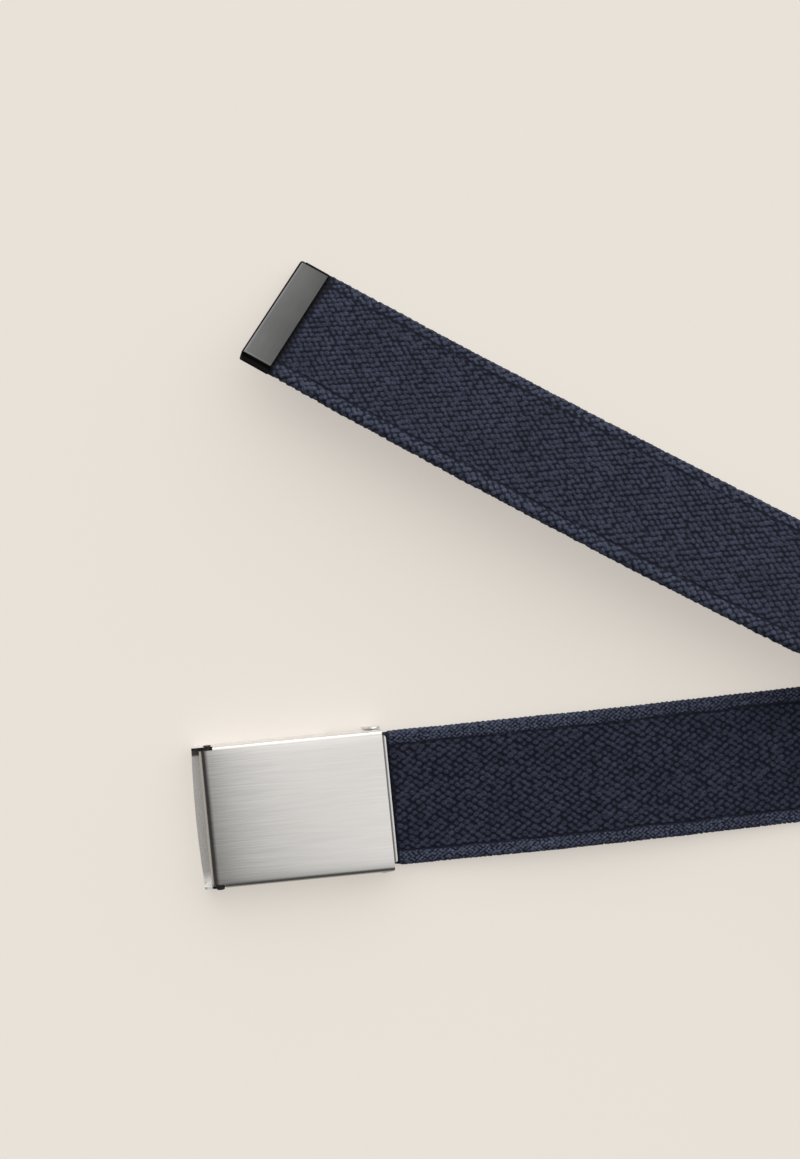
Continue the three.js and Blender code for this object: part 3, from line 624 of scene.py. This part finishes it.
def strap_surface(s, p, kind):
    """Points, painted shade mask, each float's tone and band share of the woven strap on the grid of
    distances s
    along it and p round it: the stadium section, pushed out by the floats' height, the bands' crown and the
    grooves. The painted shade mask follows the floats' height and is darker in the grooves, under the
    buckle's lip and by the tip's mouth, and below zero it paints the black shadow under the tip's edge. The
    edge's kind is fine or coarse."""
    body_weave, edge_weave = WEAVES[kind]
    s = s[:, None]
    p = p[None, :]
    across, out, normal_across, normal_out = around_section(p)
    from_middle = np.abs(p - np.round(p / HALF_AROUND) * HALF_AROUND)
    waver = BAND_WAVER * ripple(s, (7.3, 11.9, 23.0), 3) * np.ones_like(p)
    band = np.clip((from_middle - BODY_HALF - waver + BAND_LEAD) / BAND_BLEND, 0, 1)
    column = column_of(p, EDGES[kind]["columns"])
    height, shade = (np.where(band > 0.5, of_edge, of_body) for of_edge, of_body in zip(
        edge_weave.height(s, column), body_weave.height(s, column)))
    groove = np.exp(-(((from_middle - BODY_HALF - waver) / GROOVE_HALF_WIDTH) ** 2))
    groove *= np.clip(0.6 + 0.9 * ripple(s + 17 * across, (9.1, 17.3, 31.0), 5), 0.15, 1)
    crown_place = (from_middle - BODY_HALF) / (STRAP_WIDTH / 2 - BODY_HALF)
    in_band = (from_middle > BODY_HALF) & (from_middle < FLAT_HALF + 2)
    crown = np.clip(crown_place * (2 - crown_place), 0, 1) * in_band
    uneven = FACE_UNEVENNESS * ripple(s + 0.9 * across, (37.0, 61.0, 113.0), 11)
    in_tip = s > IN_TIP_START
    free = np.clip((s - CLAMP_END) / CLAMP_FADE + 0.5, 0, 1) * ~in_tip
    woven = CLAMPED_RELIEF + (1 - CLAMPED_RELIEF) * free
    lift = RELIEF * height * woven * ~in_tip - GROOVE_DEPTH * groove * free
    lift = lift + (BAND_CROWN * crown + uneven * np.abs(normal_out)) * free
    pinch = np.exp(-(((s - LIP_EDGE) / PINCH_REACH) ** 2))
    lift = lift - PINCH_DEPTH * pinch * np.abs(normal_out)
    wobble = 1 + WIDTH_UNEVENNESS * ripple(s, (19.0, 43.0, 97.0), 13) * free
    squeeze = np.where(in_tip, IN_TIP_WIDTH / STRAP_WIDTH, 1.0) * wobble
    section_across = (across + lift * normal_across) * squeeze
    section_out = out + lift * normal_out
    middle, wide, face = strap_frames(s[:, 0])
    sideways = section_across[..., None] * wide[:, None]
    points = middle[:, None] + sideways + section_out[..., None] * face[:, None]
    # Painted shade mask: dark in the grooves, under the buckle's lip and in the shade of the tip's face;
    # below zero it paints the tip's black shadow
    shaded = np.exp(-(((s - TIP_MOUTH) / TIP_SHADE_REACH) ** 2))
    painted_relief_shade = np.clip(height - 0.9 * groove - 1.2 * pinch - 1.2 * shaded, 0, 1)
    painted_relief_shade = painted_relief_shade - np.exp(-(((s - TIP_MOUTH) / TIP_PAINTED_SHADOW_REACH) ** 4))
    return points * MM, painted_relief_shade, shade, band * EDGES[kind]["light"] * np.ones_like(height)


def ring_places(upper):
    """Distances round the section: close together on the upper half, further apart on the lower, from the
    lower face's middle right round to it again."""
    lower = max(upper, LOWER_SPACING)
    quarter = HALF_AROUND / 2
    below = np.linspace(-2 * quarter, -quarter, round(quarter / lower), endpoint=False)
    above = np.linspace(-quarter, quarter, round(2 * quarter / upper), endpoint=False)
    rest = np.linspace(quarter, 2 * quarter, round(quarter / lower) + 1)
    return np.concatenate([below, above, rest])


def grid_mesh(name, points, uv, attributes):
    """Closed tube of quads from a grid of rings, with a fan on each end ring, smooth but for the fans."""
    rows, ring = points.shape[0], points.shape[1] - 1
    corners = points[:, :ring].reshape(-1, 3)
    ends = np.stack([points[0, :ring].mean(0), points[-1, :ring].mean(0)])
    i, j = np.meshgrid(np.arange(rows - 1), np.arange(ring), indexing="ij")
    after = (j + 1) % ring
    quads = np.stack([i * ring + j, i * ring + after, (i + 1) * ring + after, (i + 1) * ring + j], -1)
    place = i * (ring + 1) + j
    places = np.stack([place, place + 1, place + ring + 2, place + ring + 1], -1)
    around = np.arange(ring)
    first = np.stack([np.full(ring, rows * ring), (around + 1) % ring, around], -1)
    base = (rows - 1) * ring
    last = np.stack([np.full(ring, rows * ring + 1), base + around, base + (around + 1) % ring], -1)
    first_uv = np.stack([around, around + 1, around], -1)
    last_uv = (rows - 1) * (ring + 1) + np.stack([around, around, around + 1], -1)
    loops = np.concatenate([quads.ravel(), first.ravel(), last.ravel()]).astype(np.int32)
    loop_uv = np.concatenate([places.ravel(), first_uv.ravel(), last_uv.ravel()])
    sizes = np.concatenate([np.full(quads.size // 4, 4), np.full(2 * ring, 3)]).astype(np.int32)
    starts = np.concatenate([[0], np.cumsum(sizes)[:-1]]).astype(np.int32)
    smooth = np.concatenate([np.ones(quads.size // 4, bool), np.zeros(2 * ring, bool)])
    mesh = bpy.data.meshes.new(name)
    mesh.vertices.add(len(corners) + 2)
    mesh.vertices.foreach_set("co", np.concatenate([corners, ends]).astype(np.float32).ravel())
    mesh.loops.add(len(loops))
    mesh.loops.foreach_set("vertex_index", loops)
    mesh.polygons.add(len(sizes))
    mesh.polygons.foreach_set("loop_start", starts)
    mesh.polygons.foreach_set("use_smooth", smooth)
    mesh.update(calc_edges=True)
    layer = mesh.uv_layers.new(name="strap")
    layer.data.foreach_set("uv", uv.reshape(-1, 2)[loop_uv].astype(np.float32).ravel())
    for key, values in attributes.items():
        held = np.concatenate([values[:, :ring].ravel(), np.zeros(2)]).astype(np.float32)
        mesh.attributes.new(key, "FLOAT", "POINT").data.foreach_set("value", held)
    mesh.validate()
    return mesh


def strap_stretch(stretch, material):
    """One stretch of the strap as a closed woven tube: rings of the woven section, one after another along
    the strap's line, closed by a fan at each end. It rides on the buckle and stands for the CAD strap."""
    rows = round((stretch["end"] - stretch["start"]) / stretch["row"])
    s = np.linspace(stretch["start"], stretch["end"], rows + 1)
    p = ring_places(stretch["upper"])
    points, painted_relief_shade, shade, band = strap_surface(s, p, stretch["edge"])
    uv = np.stack(np.broadcast_arrays(p[None, :] * MM, s[:, None] * MM), -1)
    # The painted shade mask goes on the mesh as an attribute, which the webbing's colour reads
    mesh = grid_mesh(stretch["name"], points, uv, {"painted_relief_shade": painted_relief_shade, "tone": shade, "band": band})
    mesh.materials.append(material)
    piece = bpy.data.objects.new(mesh.name, mesh)
    bpy.context.scene.collection.objects.link(piece)
    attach(piece, "buckle")
    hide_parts("webbing_strap")
    length = (stretch["end"] - stretch["start"]) * MM


# Metal pieces

def rounded_shading():
    """Geometry nodes that shade every face smooth and keep each edge sharper than a set angle hard."""
    group = bpy.data.node_groups.new("rounded_shading", "GeometryNodeTree")
    group.interface.new_socket("Geometry", in_out="INPUT", socket_type="NodeSocketGeometry")
    group.interface.new_socket("Geometry", in_out="OUTPUT", socket_type="NodeSocketGeometry")
    steps = Finish("rounded_shading", group)
    whole = steps.node("NodeGroupInput")
    all_smooth = {"Geometry": whole, "Shade Smooth": True}
    smooth = steps.node("GeometryNodeSetShadeSmooth", {"domain": "FACE"}, all_smooth)
    bend = steps.node("GeometryNodeInputMeshEdgeAngle")
    sharp = steps.node("FunctionNodeCompare", {"operation": "GREATER_THAN"}, {0: bend, 1: HARD_ANGLE})
    hard = {"Geometry": smooth, "Selection": sharp, "Shade Smooth": False}
    edges = steps.node("GeometryNodeSetShadeSmooth", {"domain": "EDGE"}, hard)
    steps.node("NodeGroupOutput", None, {0: edges})
    return group


def finish_metal(name, material, shading):
    """Gives a CAD node its finish, and eases its sharp edges by a small bevel."""
    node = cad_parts[name]
    node.data.materials.clear()
    node.data.materials.append(material)
    weld = node.modifiers.new("joined", "WELD")
    weld.merge_threshold = WELD_REACH
    flat = node.modifiers.new("flat_faces", "DECIMATE")
    flat.decimate_type = "DISSOLVE"
    flat.angle_limit = FLAT_ANGLE
    bevel = node.modifiers.new("eased_edges", "BEVEL")
    bevel.limit_method = "ANGLE"
    bevel.angle_limit = EASED_ANGLE
    bevel.width = EASED_EDGES[name]
    bevel.segments = 2
    smooth = node.modifiers.new("shading", "NODES")
    smooth.node_group = shading
    weighted = node.modifiers.new("flat_normals", "WEIGHTED_NORMAL")
    weighted.keep_sharp = True


# Scene

def add_table():
    mesh = bpy.data.meshes.new("table_top")
    signs = ((-1, -1), (1, -1), (1, 1), (-1, 1))
    corners = [(x * TABLE_HALF, y * TABLE_HALF, -TABLE_DROP) for x, y in signs]
    mesh.from_pydata(corners, [], [(0, 1, 2, 3)])
    table = bpy.data.objects.new("table_top", mesh)
    bpy.context.scene.collection.objects.link(table)
    mesh.materials.append(table_finish())


def add_camera():
    camera = bpy.data.objects.new("camera", bpy.data.cameras.new("camera"))
    camera.data.sensor_fit = "HORIZONTAL"
    camera.data.sensor_width = SENSOR_WIDTH
    camera.data.lens = LENS
    camera.data.clip_start = 0.01
    camera.location = CAMERA_PLACE
    camera.rotation_euler = (0, 0, CAMERA_TURN)
    bpy.context.scene.collection.objects.link(camera)
    bpy.context.scene.camera = camera


def add_sky():
    """Studio surround: one broad soft light from beyond the tail strand, dim everywhere else."""
    world = bpy.data.worlds.new("studio")
    world.use_nodes = True
    bpy.context.scene.world = world
    sky = Finish("studio", world.node_tree)
    way = sky.node("ShaderNodeTexCoord", output=0)
    toward = tuple(Vector(SOFT_LIGHT_WAY).normalized())
    facing = sky.dot(way, toward)
    colour = sky.mix(facing.smooth(0.1, 1.0), (0.16, 0.157, 0.154, 1.0), (2.4, 2.37, 2.33, 1.0))
    glow = sky.node("ShaderNodeBackground", None, {"Color": colour, "Strength": 1.0})
    sky.node("ShaderNodeOutputWorld", None, {"Surface": glow})


def set_colour_management():
    view = bpy.context.scene.view_settings
    view.view_transform = "Standard"
    view.look = "None"
    view.exposure = 0.0
    view.gamma = 1.0


def build():
    set_colour_management()
    add_camera()
    add_table()
    add_sky()
    webbing = webbing_finish()
    for stretch in STRETCHES:
        strap_stretch(stretch, webbing)
    shading = rounded_shading()
    jaw = polished_finish("satin_jaw", (0.7, 0.69, 0.675, 1.0), (0.8, 0.79, 0.775, 1.0), 0.4)
    pin = polished_finish("dark_pin", (0.04, 0.038, 0.036, 1.0), (0.08, 0.076, 0.072, 1.0), 0.3)
    finish_metal("buckle_lid", lid_finish(), shading)
    finish_metal("buckle_frame", frame_finish(), shading)
    finish_metal("clamp_jaw", jaw, shading)
    finish_metal("lid_pin", pin, shading)
    finish_metal("tip_ferrule", tip_finish(), shading)


build()
